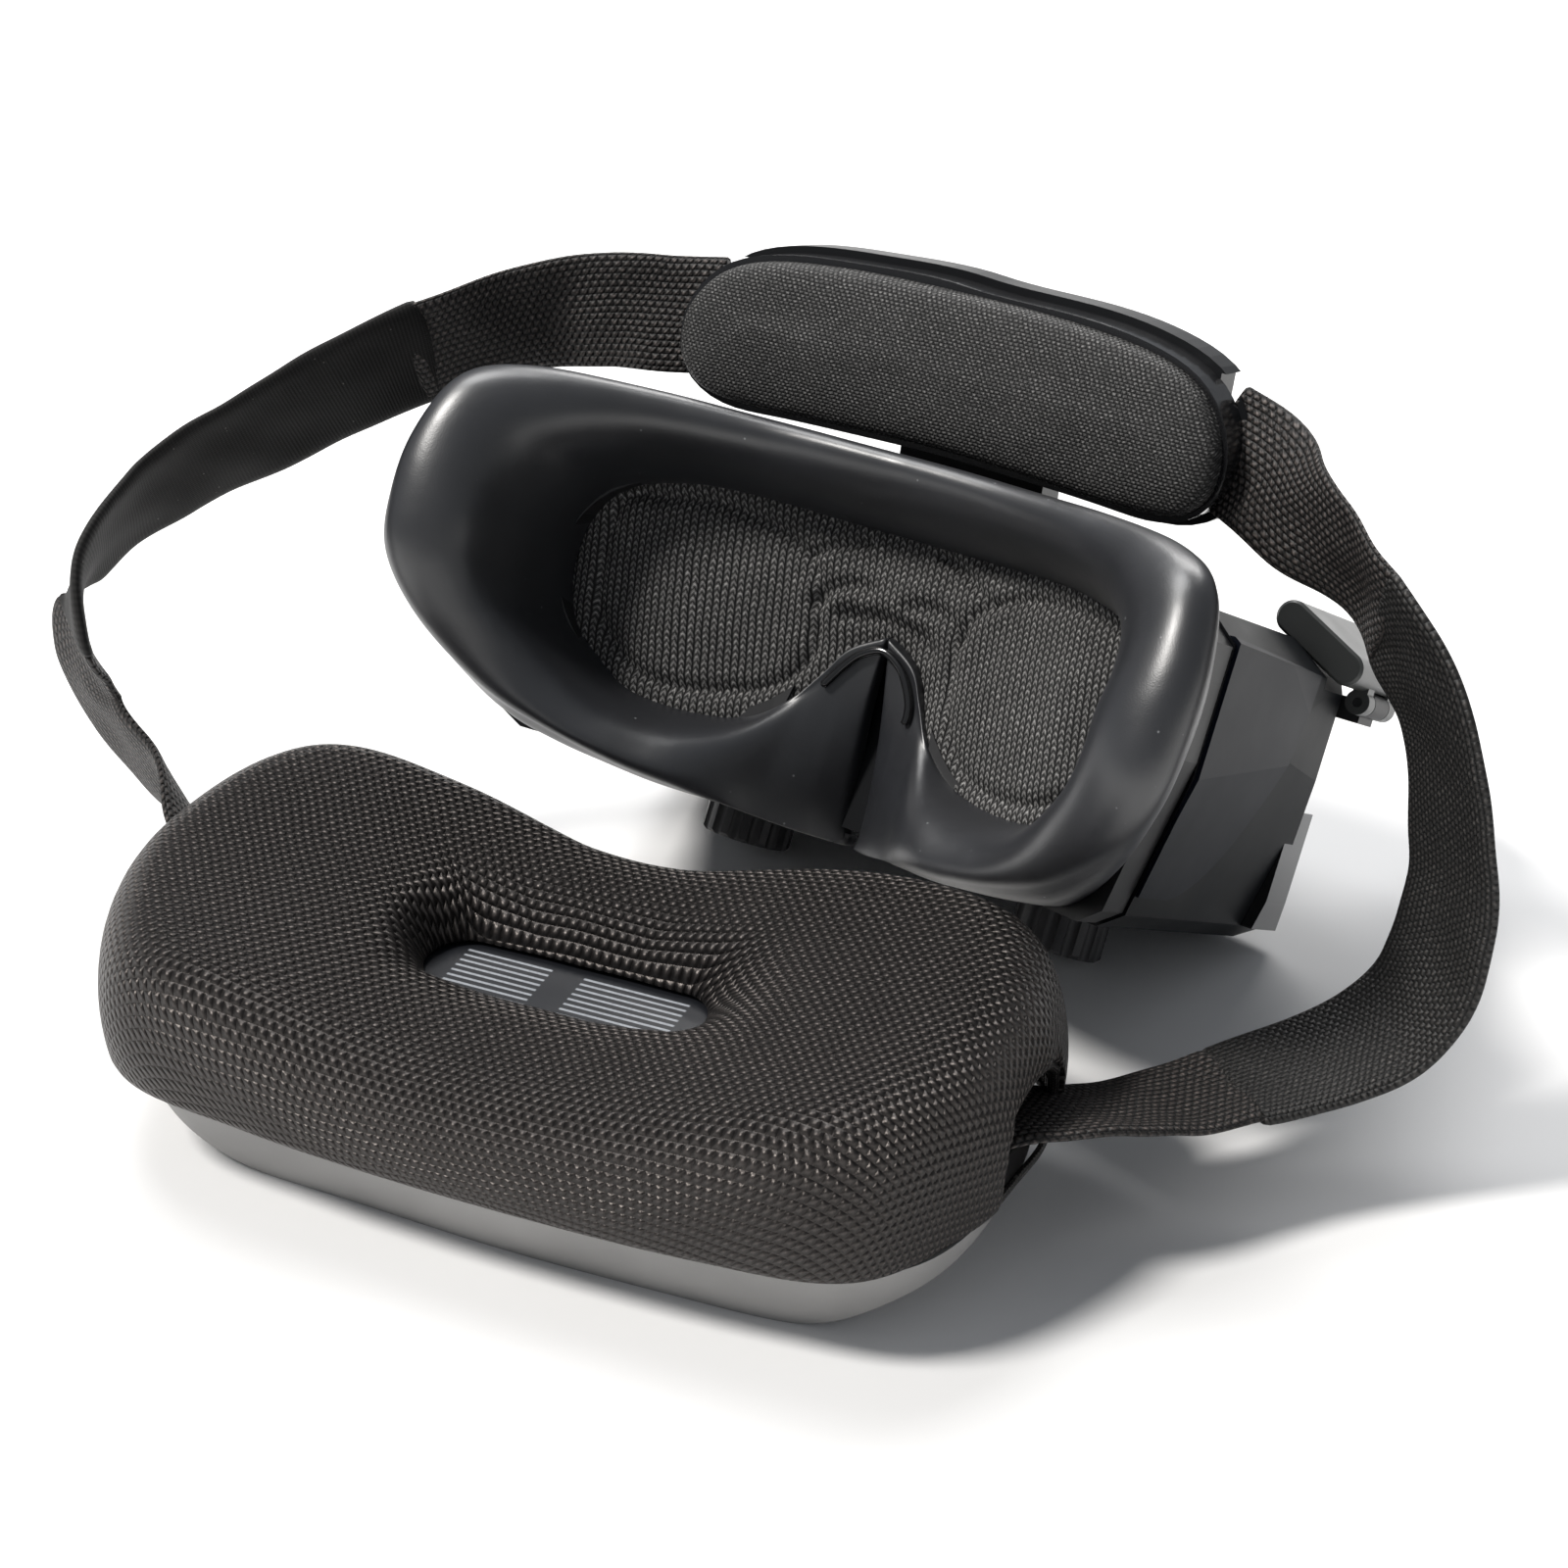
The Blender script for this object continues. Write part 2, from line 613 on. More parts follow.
LIP_BACK = [-5.6, 2.6, 10.5, 18.5, 25.0, 30.4]
OPENING_BACK = [4.8, 4.8, 5.4, 6.8, 8.8]
SEAM_BACK = [-7.0, -1.0, 4.0, 6.5, 8.5, 10.0]
STEPS = 7
SLIT = 1.3    # how far each side of the nose slit stands open at its middle, in millimetres
SLIT_ROWS = 6
# How far the wall reaches back behind the opening's edge, at the middle and at the sides.
WALL_THIN, WALL_FAT = 2.6, 9.5
# Share of the way out to the lip against the share of its depth, plain and at the fat side rolls.
PLAIN_RISE = [(0.05, 0.13), (0.12, 0.31), (0.24, 0.57), (0.38, 0.79), (0.54, 0.95), (0.70, 1.04),
              (0.84, 1.07), (0.94, 1.04), (1.0, 0.95), (1.012, 0.84)]
ROLLED_RISE = [(0.015, 0.28), (0.035, 0.54), (0.08, 0.76), (0.17, 0.91), (0.30, 1.0), (0.47, 1.06),
               (0.66, 1.09), (0.84, 1.07), (0.97, 0.99), (1.012, 0.86)]


def opening_back(x):
    """How far back the opening's edge lies, x out from the middle. The face's curve sets it."""
    return 6 + 24 * (x / 65) ** 2


def lip_back(x):
    return 24 + 34 * (x / 84) ** 2


def seam_back(x):
    return 6 + 28 * (x / 78) ** 2


def deep_line(outline, listed, rule):
    """Outline with its depth: the listed ones near the nose, then the rule's."""
    points = []
    for i, (x, z) in enumerate(outline):
        points.append((x, listed[i] if i < len(listed) else rule(x), z))
    return catmull(points, STEPS)


def mask_sections(side):
    """Sections across the mask's wall, round one half of it, as rows of points in the goggles frame."""
    open_line = deep_line(OPENING, OPENING_BACK, opening_back)
    lip_line = deep_line(LIP, LIP_BACK, lip_back)
    seam_line = deep_line(SEAM, SEAM_BACK, seam_back)
    rows = []
    for k, (o, r, s) in enumerate(zip(open_line, lip_line, seam_line)):
        nose = 1 - smooth(k / STEPS, 1.6, 4.6)
        out = Vector((r.x - o.x, 0, r.z - o.z))
        flat = out.normalized()
        wall = lerp(WALL_THIN, WALL_FAT, smooth(abs(o.x), 42, 66))
        roll = smooth(abs(o.x), 42, 64) * (1 - 0.6 * smooth(o.z, 4, 24))
        row = []
        for outward, forward in ((-0.4, -wall), (-0.24, -wall * 0.5), (0.0, -0.7), (0.3, 0.9)):
            row.append(Vector((o.x, o.y + forward, o.z)) + flat * outward)
        deep = r.y - o.y
        for (fa, ga), (fb, gb) in zip(PLAIN_RISE, ROLLED_RISE):
            f, g = lerp(fa, fb, roll), lerp(ga, gb, roll)
            straight = smooth(f) * 0.35 + f * 0.65
            share = lerp(g, straight, nose)
            reach = min(f, 1.0) if nose > 0.5 else f
            row.append(Vector((o.x + out.x * reach, o.y + deep * share, o.z + out.z * reach)))
        for t, bulge in ((0.30, 1.6), (0.58, 1.5), (0.82, 0.7), (1.0, 0.0)):
            p = r.lerp(s, t)
            row.append(p + flat * bulge * (1 - nose) + Vector((0, -0.6 * (1 - t) * (1 - nose), 0)))
        rows.append([Vector((side * p.x, -p.y, p.z)) for p in row])
    return slit_edge(rows, side) + rows[1:]


def slit_edge(rows, side):
    """Spread the rows next to the nose slit. Returns the rows of its lip, turned forward at the slit."""
    spread = [SLIT * smooth(j, 3, 8) * (1 - smooth(j, 9, 14)) for j in range(len(rows[0]))]
    for k, row in enumerate(rows[:SLIT_ROWS]):
        for j, p in enumerate(row):
            p.x += side * spread[j] * (1 - k / SLIT_ROWS)
    gap = [lerp(0.12, 0.85, smooth(j, 3, 9)) + extra for j, extra in enumerate(spread)]
    lip = [Vector((side * x, p.y, p.z)) for x, p in zip(gap, rows[0])]
    fold = [Vector((p.x, p.y + 3.2 * smooth(j, 2, 5), p.z)) for j, p in enumerate(lip)]
    turn = [Vector((p.x, p.y + 0.5, p.z)) for p in lip]
    edge = [Vector((p.x + side * 0.25, p.y - 0.1, p.z)) for p in lip]
    return [fold, turn, edge]


def soft_wobble(p, size, amount, seed):
    """Slight unevenness of a soft surface."""
    q = Vector(p) / size + Vector((seed, seed * 0.7, -seed))
    return noise.noise_vector(q) * amount


right_rows = mask_sections(1)
left_rows = mask_sections(-1)
rows = right_rows + left_rows[::-1][1:]
for i, row in enumerate(rows):
    for j, p in enumerate(row):
        if 4 < j < len(row) - 1:
            row[j] = p + soft_wobble(p, 24.0, 0.35, 3.1)
mask_skin = grid_object("mask_skin", rows, place=TO_WORLD_G)
subdivide(mask_skin, 1)
finish_piece(mask_skin, "mask", "mask")
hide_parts("face_mask")

# ------------------------------------------------------------------ nose bridge trim
arch = [Vector((x, -y, z)) for x, y, z in (
    (-10.6, 6.4, -7.0), (-9.2, 6.1, -4.6), (-7.4, 5.9, -1.8), (-4.6, 5.7, 1.4), (0.0, 5.6, 3.4),
    (4.6, 5.7, 1.4), (7.4, 5.9, -1.8), (9.2, 6.1, -5.0), (9.8, 6.2, -7.6), (9.6, 6.0, -9.4))]
bridge = tube("nose_trim", catmull(arch, 6), 0.55, 8, TO_WORLD_G, 1.6)
finish_piece(bridge, "gloss", "mask")

# ------------------------------------------------------------------ lens cover
# Its outline as a top and a low edge, the two raised D shapes over the eyes, and the folds between
# them as (line, width, depth). All as x and z in the goggles frame.
COVER_HALF = 67.4
TOP_EDGE = [(-COVER_HALF, 5), (-66, 14), (-60.6, 21.6), (-51, 25.6), (-38, 27.6), (-20, 28), (0, 28),
            (20, 28), (38, 27.6), (51, 25.6), (60.6, 21.6), (66, 14), (COVER_HALF, 5)]
LOW_EDGE = [(-COVER_HALF, 5), (-66.8, -3), (-63.2, -11), (-56, -16.8), (-48, -21.2), (-36, -22.4),
            (-27, -21), (-18, -16.4), (-13.6, -11.6), (-9.4, -4.6), (-5.6, 1.2), (0, 4.6), (5.6, 1.2),
            (9.4, -4.6), (13.6, -11.6), (19, -17.2), (27, -21), (36, -22.4), (48, -21.2), (56, -16.8),
            (63.2, -11), (66.8, -3), (COVER_HALF, 5)]
D_LEFT = [(-61, 17.5), (-50.7, 21.2), (-40.4, 23.0), (-29.6, 21.5), (-23.0, 18.9), (-18.2, 13.6),
          (-15.9, 4.9), (-15.6, -1.7), (-20.3, -9.3), (-29.8, -13.8), (-43.2, -16.3), (-54.4, -11.2),
          (-60.5, -2)]
D_RIGHT = [(61, 17.5), (55.0, 21.2), (43.8, 22.4), (31.0, 21.8), (21.9, 18.5), (17.4, 13.8), (16.1, 5.0),
           (18.8, -5.6), (24.6, -13.4), (31.9, -16.9), (41.6, -17.0), (50, -14.6), (57, -9), (60.5, -2)]
FOLDS = [
    ([(-20.8, 18.3), (-15.8, 21.6), (-9.8, 23.8)], 1.1, 0.9),
    ([(-17.4, 9.0), (-14.6, 12.6), (-10.0, 14.6), (-6.7, 14.3)], 1.5, 0.95),
    ([(6.8, 25.2), (10.8, 24.4), (16.3, 21.5), (22.5, 18.4)], 1.2, 1.0),
    ([(3.0, 13.4), (8.3, 14.3), (13.0, 13.4), (16.4, 10.4)], 1.6, 1.0),
    ([(-12.0, 8.0), (-6.0, 9.2), (0.0, 9.6), (6.0, 8.6), (10.0, 5.6)], 1.5, 0.8),
]


def edge_height(edge, x):
    """z of an edge at x."""
    for (xa, za), (xb, zb) in zip(edge[:-1], edge[1:]):
        if xa <= x <= xb:
            return lerp(za, zb, (x - xa) / max(xb - xa, 1e-6))
    return edge[-1][1]


def line_distance(line, x, z):
    """Distance from a point to the nearest stretch of a line."""
    best = 1e9
    for a, b in zip(line[:-1], line[1:]):
        dx, dz = b[0] - a[0], b[1] - a[1]
        t = min(max(((x - a[0]) * dx + (z - a[1]) * dz) / max(dx * dx + dz * dz, 1e-9), 0), 1)
        best = min(best, math.hypot(x - a[0] - dx * t, z - a[1] - dz * t))
    return best


def inside(loop, x, z):
    odd = False
    for a, b in zip(loop, loop[1:] + loop[:1]):
        if (a[1] > z) != (b[1] > z) and x < (b[0] - a[0]) * (z - a[1]) / (b[1] - a[1]) + a[0]:
            odd = not odd
    return odd


def flat_curve(points, per, curve=catmull):
    """Curve through (x, z) points, as (x, z) points."""
    return [(p.x, p.y) for p in curve([(x, z, 0) for x, z in points], per)]


top_fine = flat_curve(TOP_EDGE, 8)
low_fine = flat_curve(LOW_EDGE, 6)
d_left = flat_curve(D_LEFT, 4, closed_catmull)
d_right = flat_curve(D_RIGHT, 4, closed_catmull)
fold_lines = [(flat_curve(line, 5), width, deep) for line, width, deep in FOLDS]


def cover_y(x, z):
    """y of the cover's near face in the goggles frame."""
    depth = opening_back(min(abs(x), 62)) - 1.6 - 6.0 * smooth(abs(x), 44, 64)
    depth -= 2.6 * math.exp(-(x / 15.0) ** 4) * (1 - smooth(z, 5.0, 15.0))
    rise = 0.0
    for loop in (d_left, d_right):
        d = line_distance(loop + loop[:1], x, z)
        if inside(loop, x, z):
            rise += 0.9 * smooth(d, 0.4, 3.2) + 0.7 * smooth(d, 3, 16)
        else:
            rise += 1.3 * smooth(d, 0.2, 2.4) * (1 - smooth(d, 4, 9)) * 0.6
        rise -= 0.75 * (1 - smooth(d, 0.2, 1.1))
    for line, width, deep in fold_lines:
        d = line_distance(line, x, z)
        rise -= deep * (1 - smooth(d, 0.1, width * 1.3))
        rise += deep * 0.5 * smooth(d, width * 0.6, width * 1.8) * (1 - smooth(d, width * 1.8, width * 4.5))
    middle = math.exp(-(x / 11.0) ** 2) * math.exp(-((z - 15.0) / 9.0) ** 2)
    rise += 1.8 * middle
    rise += noise.noise(Vector((x / 7.0, z / 7.0, 2.0))) * 0.55 * math.exp(-(x / 26.0) ** 2)
    rise += noise.noise(Vector((x / 16.0, z / 16.0, 5.0))) * 0.35
    return -(depth + rise)


COLUMNS = 190
ACROSS = 60
SPAN = 67.3     # just inside COVER_HALF, so that every column has a top and a low edge
COVER_THICK = 2.4
rows, uvs = [], []
for i in range(COLUMNS + 1):
    x = -SPAN * math.cos(math.pi * i / COLUMNS) * 0.35 + lerp(-SPAN, SPAN, i / COLUMNS) * 0.65
    high = edge_height(top_fine, x)
    low = edge_height(low_fine, x)
    row, uv = [], []
    for j in range(ACROSS + 1):
        z = lerp(low, high, j / ACROSS)
        row.append(Vector((x, cover_y(x, z), z)))
        uv.append((x + z * 0.18, z - x * 0.10))
    for j in range(ACROSS, -1, -6):
        z = lerp(low, high, j / ACROSS)
        row.append(Vector((x, cover_y(x, z) + COVER_THICK, z)))
        uv.append((x, z + 2))
    rows.append(row)
    uvs.append(uv)
cover = grid_object("cover_cloth", rows, uvs, wrap_v=True, caps=True, place=TO_WORLD_G)
finish_piece(cover, "cover_knit", "cover")
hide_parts("lens_cover")

# ------------------------------------------------------------------ forehead support
LEAN = TO_WORLD_G @ Matrix.Translation((0.0, -13.0, 60.4)) @ Matrix.Rotation(math.radians(16.0), 4, "X")
SUPPORT_RIGHT = [(0, 17.3), (24, 16.9), (44, 14.8), (55, 10.5), (61.3, 3), (63, -5), (61, -12), (54, -17),
                 (40, -18), (20, -17.4), (0, -17)]
SUPPORT = SUPPORT_RIGHT + [(-x, z) for x, z in reversed(SUPPORT_RIGHT[1:-1])]
support_line = closed_catmull([(x, z, 0) for x, z in SUPPORT], 8)


def bow(x):
    """How far the support curves round the forehead, x out from its middle."""
    return -6.0 * (x / 78) ** 2


def inset_loop(line, by):
    """The loop moved inward by a distance."""
    out = []
    for k, p in enumerate(line):
        along = (line[(k + 1) % len(line)] - line[k - 1]).normalized()
        out.append(p + Vector((along.y, -along.x, 0)) * by)
    return out


# The pad's rings from its back edge round to its face: how far in from the outline, and y.
PAD_RINGS = [(1.3, 6.5), (1.2, 4.0), (1.25, 1.6), (1.5, 0.1), (2.1, -1.2), (3.2, -2.1), (5.0, -2.7),
             (8.0, -3.1), (11.0, -3.3)]
LAST_INSET, LAST_Y = PAD_RINGS[-1]
rows = []
for inset, y in PAD_RINGS:
    loop = inset_loop(support_line, inset)
    rows.append([Vector((p.x, y + bow(p.x), p.y)) for p in loop])
centre_line = [Vector((max(min(p.x, 46.0), -46.0) * 0.96, 0, 0)) for p in support_line]
last = inset_loop(support_line, LAST_INSET)
for share in (0.25, 0.5, 0.75, 1.0):
    ring = []
    for p, c in zip(last, centre_line):
        q = p.lerp(c, share)
        ring.append(Vector((q.x, LAST_Y - 0.5 * smooth(share) + bow(q.x), q.y)))
    rows.append(ring)
for i, row in enumerate(rows):
    for p in row:
        p.y += noise.noise(Vector((p.x / 14.0, p.z / 9.0, 1.0))) * 0.35 * smooth(i, 1, 6)
uvs = []
for i, row in enumerate(rows):
    extra = max(0.0, 3.5 - i * 0.9)
    uvs.append([(p.x + math.copysign(extra, p.x) * 0.5, p.z + math.copysign(extra, p.z)) for p in row])
pad = grid_object("pad_cloth", rows, uvs, wrap_v=True, place=LEAN)
subdivide(pad, 1)
finish_piece(pad, "pad_knit", "headrest")
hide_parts("forehead_pad")

# ------------------------------------------------------------------ head straps
# Centre of the strap and the direction across it, from the forehead support to the pack. In
# millimetres, along the shared frame's axes, from the point on the floor below the goggles' origin.
LEFT_STATIONS = [
    ((-56, 26, 118), (0.0, 0.45, 0.88)), ((-67, 20, 118), (0.0, 0.45, 0.88)),
    ((-80, 14, 118), (-0.05, 0.2, 0.98)), ((-95, 3, 116), (0.0, -0.1, 0.99)),
    ((-110, -20, 111), (0.0, -0.3, 0.95)),
    ((-129, -43, 99), (0.1, -0.45, 0.88)), ((-141, -64, 90), (0.3, -0.4, 0.85)),
    ((-142, -82, 82), (0.5, -0.5, 0.7)), ((-141, -88, 73), (0.8, -0.6, 0.1)),
    ((-142, -87, 62), (0.95, -0.3, -0.1)), ((-140, -86, 52), (0.9, -0.3, 0.3)),
    ((-132, -86, 44), (0.6, -0.35, 0.7)), ((-122, -87, 38), (0.35, -0.4, 0.85)),
    ((-108, -91, 33), (0.1, -0.8, 0.6)), ((-90, -97, 30), (0.1, -0.95, 0.0)),
]
RIGHT_STATIONS = [
    ((56, 27, 117.5), (0.05, 0.45, 0.88)), ((67.5, 23.0, 115.5), (0.05, 0.45, 0.88)),
    ((77, 19, 111), (0.3, 0.1, 0.93)), ((92, 12, 107), (0.15, -0.35, 0.9)),
    ((107, 1, 100), (0.35, -0.35, 0.87)),
    ((117, -4, 91), (0.6, -0.45, 0.67)), ((123, -8, 78), (0.75, -0.5, 0.42)),
    ((127, -11, 62), (0.83, -0.47, 0.24)), ((127, -15, 46), (0.87, -0.48, 0.05)),
    ((123, -19, 35), (0.8, -0.58, -0.15)), ((115, -26, 28), (0.75, -0.65, -0.1)),
    ((104, -38, 25), (0.8, -0.6, 0.0)), ((93, -54, 25), (0.78, -0.6, 0.15)),
    ((83, -68, 28), (0.82, -0.5, 0.25)), ((70, -80, 30), (0.5, -0.85, 0.1)),
]
STRAP_STEPS = 10     # along the line between two stations
STRAP_ACROSS = 14


def strap_line(stations):
    """Smooth centre line and across directions, with the length run so far."""
    centres = catmull([c for c, a in stations], STRAP_STEPS)
    widths = catmull([a for c, a in stations], STRAP_STEPS)
    run, out = 0.0, []
    for i, (c, w) in enumerate(zip(centres, widths)):
        along = (centres[min(i + 1, len(centres) - 1)] - centres[max(i - 1, 0)]).normalized()
        w = (w - along * w.dot(along)).normalized()
        if i:
            run += (c - centres[i - 1]).length
        out.append((c + BELOW_GOGGLES, w, along.cross(w).normalized(), run))
    return out


def ribbon(name, line, first, last, width, thick, look, seed, crease):
    """Flat webbing with rounded edges and slight creases, between two steps of a strap's line."""
    rows, uvs = [], []
    for i in range(first, last + 1):
        c, w, n, run = line[i]
        row, uv = [], []
        for face in (1, -1):
            for k in range(STRAP_ACROSS + 1):
                s = (k / STRAP_ACROSS * 2 - 1) * face
                lift = noise.noise(Vector((run / 11.0, s * 1.3, seed))) * crease
                half_thick = thick / 2 * (1.0 - 0.55 * smooth(abs(s), 0.86, 1.0))
                row.append(c + w * (s * width / 2) + n * (lift + half_thick * face))
                uv.append((run, s * width / 2))
        rows.append(row)
        uvs.append(uv)
    obj = finish_piece(grid_object(name, rows, uvs, wrap_v=True, caps=True), look)
    return subdivide(obj, 1)


def at_station(line, index):
    return line[index][0] * MM


FULL = 24.5      # width of the webbing
SLEEVE = 0.9     # how much wider the sleeve round it is
# At which steps along its line each strap's woven front, sleeve and woven end stop.
LEFT_CUTS = (0, 37, 82, 140)
RIGHT_CUTS = (0, 36, 112, 140)


def strap(side, line, cuts, sleeve_look, seeds, front_crease):
    """One strap: a woven front at the forehead, a sleeve, and a woven end into the pack."""
    name = "strap_%s_" % side
    front = ribbon(name + "front", line, cuts[0], cuts[1] + 2, FULL, 2.0, "web", seeds[0], front_crease)
    wide = FULL + SLEEVE
    sleeve = ribbon(name + "sleeve", line, cuts[1], cuts[2] + 1, wide, 2.7, sleeve_look, seeds[1], 0.8)
    end = ribbon(name + "end", line, cuts[2], cuts[3], FULL, 2.2, "web", seeds[2], 0.9)
    at_station(line, 4)
    at_station(line, 34)
    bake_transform(front)
    for piece in (sleeve, end):
        at_station(line, 42)
        at_station(line, 120)
        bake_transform(piece)
    return front


strap_left = strap("left", strap_line(LEFT_STATIONS), LEFT_CUTS, "sleeve", (1.7, 4.2, 6.9), 0.9)
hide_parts("strap_left")
strap_right = strap("right", strap_line(RIGHT_STATIONS), RIGHT_CUTS, "web_dark", (2.3, 5.5, 8.1), 1.0)
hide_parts("strap_right")

# ------------------------------------------------------------------ pack cushion
A, B = 91.0, 39.5      # half length and half width of the pack
PLAN = [(89.5, 2), (90.0, 17), (81.0, 33.0), (A * 0.5, B), (0, B * 0.9), (-A * 0.5, B),
        (-A * 0.86, B * 0.82), (-A, 0), (-A * 0.86, -B * 0.82), (-A * 0.5, -B), (0, -B * 1.04),
        (A * 0.5, -B), (A * 0.80, -B * 0.86), (86.0, -14)]
SEAM_Z = 19.0
HOLE_HALF_LENGTH, HOLE_HALF_WIDTH = 30.5, 9.8
plan_line = closed_catmull([(x, y, 0) for x, y in PLAN], 16)


def hole_point(angle, length, width):
    """Point on a stadium outline, in the direction of the angle."""
    dx, dy = math.cos(angle), math.sin(angle)
    low, high = 0.0, length + 5
    for _ in range(24):
        mid = (low + high) / 2
        x, y = dx * mid, dy * mid
        over = max(abs(x) - (length - width), 0.0)
        if math.hypot(over, y) < width:
            low = mid
        else:
            high = mid
    return Vector((dx * low, dy * low, 0))


def top_height(x, y):
    """Height of the cushion's top: two lobes, lower along the near edge."""
    lobe = smooth(abs(x) / 73.0, 0.12, 1.0)
    return 43.8 + 8.6 * lobe + y * 0.14


PLATE_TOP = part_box("rating_plate")[1].z / MM
# Distance out from the hole, or in from the rim, against the share of the way up to the top.
INNER = [(0.0, 0.0), (0.5, 0.10), (2.0, 0.27), (4.5, 0.52), (8.0, 0.77), (12.0, 0.92), (17.0, 1.0)]
OUTER = [(13.0, 0.998), (9.0, 0.975), (5.6, 0.925), (3.0, 0.835), (1.2, 0.71), (0.1, 0.56), (-0.5, 0.41),
         (-0.5, 0.27), (-0.1, 0.13), (0.5, 0.0)]
rows, uvs = [], []
for p in plan_line:
    hole = hole_point(math.atan2(p.y, p.x), HOLE_HALF_LENGTH, HOLE_HALF_WIDTH)
    away = p - hole
    length = away.length
    outward = away.normalized()
    steep = lerp(1.0, 0.45, smooth(-hole.x, 18, 30))
    row = []
    for d, share in INNER:
        q = hole + outward * (d * steep * min(1.0, length * 0.42 / INNER[-1][0]))
        z = lerp(PLATE_TOP + 0.3, top_height(q.x, q.y), share)
        row.append(Vector((q.x, q.y, z)))
    for d, share in OUTER:
        q = p - outward * (d * min(1.0, length * 0.46 / OUTER[0][0]))
        z = lerp(SEAM_Z + 0.1, top_height(q.x, q.y), share)
        row.append(Vector((q.x, q.y, z)))
    middle = len(INNER)
    for j, point in enumerate(row):
        soft = smooth(j, 2, 5) * (1 - smooth(j, len(row) - 3, len(row) - 1))
        row[j] = point + soft_wobble(point, 26.0, 0.6, 1.3) * soft
    base = row[middle]
    uv = []
    for j, point in enumerate(row):
        if j <= middle:
            uv.append((point.x, point.y))
            continue
        arc = sum((row[k + 1] - row[k]).length for k in range(middle, j))
        uv.append((base.x + outward.x * arc, base.y + outward.y * arc))
    rows.append(row)
    uvs.append(uv)
cushion = grid_object("pack_cloth", rows, uvs, wrap_u=True, place=TO_WORLD_P)

# The strap's arched doorway in each end wall: cut out of the mesh, with its edge moved onto the arch.
DOOR_RIGHT_Y, DOOR_LEFT_Y = 6.5, 15.5
DOOR_HALF, DOOR_TOP = 13.0, 40.0
ARCH_Z = DOOR_TOP - DOOR_HALF
END_X = 70.0      # the end walls lie further out than this


def door_y(p):
    return DOOR_RIGHT_Y if p.x > 0 else DOOR_LEFT_Y


def in_door(p):
    """How far outside the doorway's arch a point of the pack frame is, in millimetres."""
    if p.z > ARCH_Z:
        return math.hypot(p.y - door_y(p), p.z - ARCH_Z) - DOOR_HALF
    return abs(p.y - door_y(p)) - DOOR_HALF


def on_arch(p):
    """The nearest point of the doorway's edge."""
    if p.z > ARCH_Z:
        away = Vector((0, p.y - door_y(p), p.z - ARCH_Z)).normalized() * DOOR_HALF
        return Vector((p.x, door_y(p) + away.y, ARCH_Z + away.z))
    return Vector((p.x, door_y(p) + math.copysign(DOOR_HALF, p.y - door_y(p)), p.z))


to_pack = TO_WORLD_P.inverted()
mesh = cushion.data
local = [to_pack @ (v.co / MM) for v in mesh.vertices]
gone, kept_verts, lost_verts = [], set(), set()
for poly in mesh.polygons:
    c = sum((local[k] for k in poly.vertices), Vector()) / len(poly.vertices)
    if abs(c.x) > END_X and in_door(c) < 0:
        gone.append(poly.index)
        lost_verts.update(poly.vertices)
    else:
        kept_verts.update(poly.vertices)
for k in kept_verts & lost_verts:
    mesh.vertices[k].co = (TO_WORLD_P @ on_arch(local[k])) * MM
work = bmesh.new()
work.from_mesh(mesh)
work.faces.ensure_lookup_table()
bmesh.ops.delete(work, geom=[work.faces[k] for k in gone], context="FACES")
work.to_mesh(mesh)
work.free()
count_faces = {}
for poly in mesh.polygons:
    for edge in poly.edge_keys:
        count_faces[edge] = count_faces.get(edge, 0) + 1
door_edges = {}
for edge, count in count_faces.items():
    ends = [to_pack @ (mesh.vertices[k].co / MM) for k in edge]
    if count == 1 and all(abs(e.x) > END_X and abs(in_door(e)) < 2.0 for e in ends):
        for k, other in (edge, edge[::-1]):
            door_edges.setdefault(k, []).append(other)
solid = cushion.modifiers.new("Thickness", "SOLIDIFY")
solid.thickness = 2.2 * MM
solid.offset = -1.0
subdivide(cushion, 1)
finish_piece(cushion, "spacer", "pack")
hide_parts("pack_cushion")

# A bound edge round each doorway, along the chains of its open edges.
number = 0
left_over = set(door_edges)
while left_over:
    starts = [k for k in left_over if len(door_edges[k]) == 1]
    at = starts[0] if starts else min(left_over)
    chain = [at]
    left_over.discard(at)
    while True:
        ahead = [k for k in door_edges[chain[-1]] if k in left_over]
        if not ahead:
            break
        chain.append(ahead[0])
        left_over.discard(ahead[0])
    if len(chain) < 5:
        continue
    path = [mesh.vertices[k].co / MM for k in chain]
    before, after = path[:1] + path[:-1], path[1:] + path[-1:]
    path = [(a + p * 2 + b) / 4 for a, p, b in zip(before, path, after)]
    number += 1
    trim = tube("door_binding_%d" % number, path, 1.15, 8)
    finish_piece(trim, "binding", "pack")

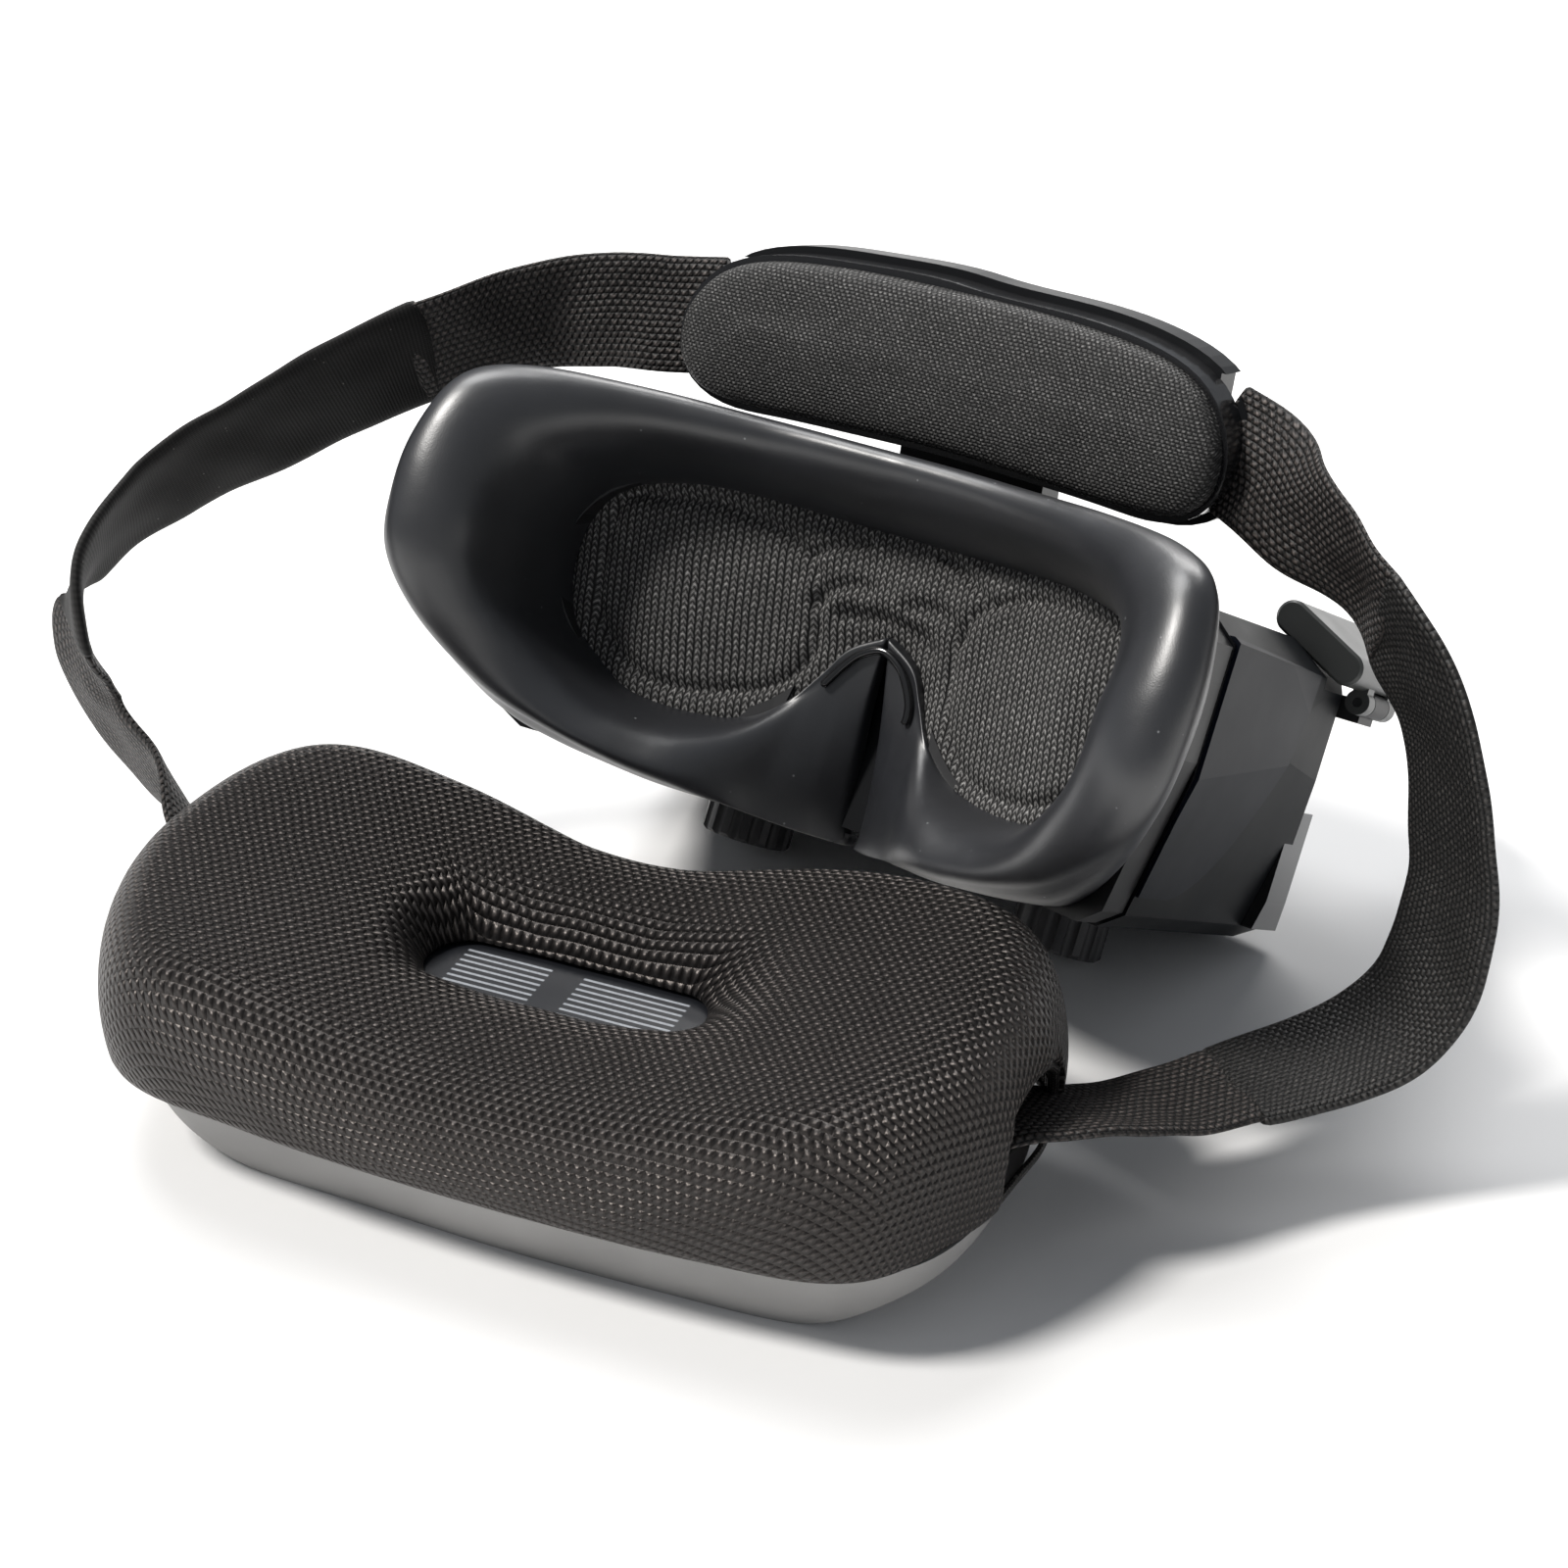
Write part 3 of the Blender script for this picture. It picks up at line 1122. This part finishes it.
# Hem of the cushion, along the seam. Its cord is a little taller than it is wide.
hem = [Vector((p.x, p.y, SEAM_Z + 0.75)) + Vector((p.x, p.y, 0)).normalized() * 0.1 for p in plan_line]
rows, uvs = [], []
run = 0.0
for i in range(len(hem)):
    p = hem[i]
    along = (hem[(i + 1) % len(hem)] - hem[i - 1]).normalized()
    out = Vector((along.y, -along.x, 0))
    row, uv = [], []
    for k in range(8):
        w = 2 * math.pi * k / 8
        row.append(p + out * (math.cos(w) * 0.75) + Vector((0, 0, math.sin(w) * 0.9)))
        uv.append((run, k * 0.6))
    rows.append(row)
    uvs.append(uv)
    run += (hem[(i + 1) % len(hem)] - p).length
hem_piece = grid_object("cushion_hem", rows, uvs, wrap_u=True, wrap_v=True, place=TO_WORLD_P)
finish_piece(hem_piece, "binding", "pack")

# ------------------------------------------------------------------ floor and light
floor_mesh = bpy.data.meshes.new("floor")
floor_mesh.from_pydata([(-6, -6, 0), (6, -6, 0), (6, 6, 0), (-6, 6, 0)], [], [(0, 1, 2, 3)])
floor = bpy.data.objects.new("floor", floor_mesh)
bpy.context.scene.collection.objects.link(floor)
ground = Material("ground", (0.86, 0.86, 0.86), 0.9)
cloudy = ground.noise(ground.object_mm(), 300.0, 1.0)
ground.link("Base Color", ground.ramp(cloudy, [(0.0, (0.855, 0.855, 0.855)), (1.0, (0.87, 0.87, 0.87))]))
floor.data.materials.append(ground.material)

world = bpy.data.worlds.new("studio")
bpy.context.scene.world = world
world.use_nodes = True
world.node_tree.nodes["Background"].inputs["Color"].default_value = (0.90, 0.94, 1.0, 1.0)
world.node_tree.nodes["Background"].inputs["Strength"].default_value = 0.26


def lamp(name, kind, at, target, power, color, size, size_y=0.0):
    """A sun, whose size is its angle in degrees, or a rectangular soft light, in metres."""
    data = bpy.data.lights.new(name, kind)
    if kind == "AREA":
        data.shape = "RECTANGLE"
        data.size, data.size_y = size, size_y
    else:
        data.angle = math.radians(size)
    data.energy = power
    data.color = color
    held = bpy.data.objects.new(name, data)
    bpy.context.scene.collection.objects.link(held)
    held.location = at
    held.rotation_euler = (Vector(target) - Vector(at)).to_track_quat("-Z", "Y").to_euler()


lamp("key", "SUN", (-0.46, -0.42, 0.86), (0, 0, 0), 3.1, (1.0, 0.975, 0.94), 11.0)
lamp("top", "AREA", (-0.42, 0.22, 0.95), (0.0, 0.02, 0.08), 6.5, (1.0, 1.0, 1.0), 0.55, 0.45)
lamp("rim", "AREA", (-0.25, 0.95, 0.75), (0.0, 0.0, 0.08), 7.0, (1.0, 0.99, 0.98), 0.7, 0.35)

bpy.context.scene.view_settings.view_transform = "Standard"
bpy.context.scene.view_settings.exposure = 0.0
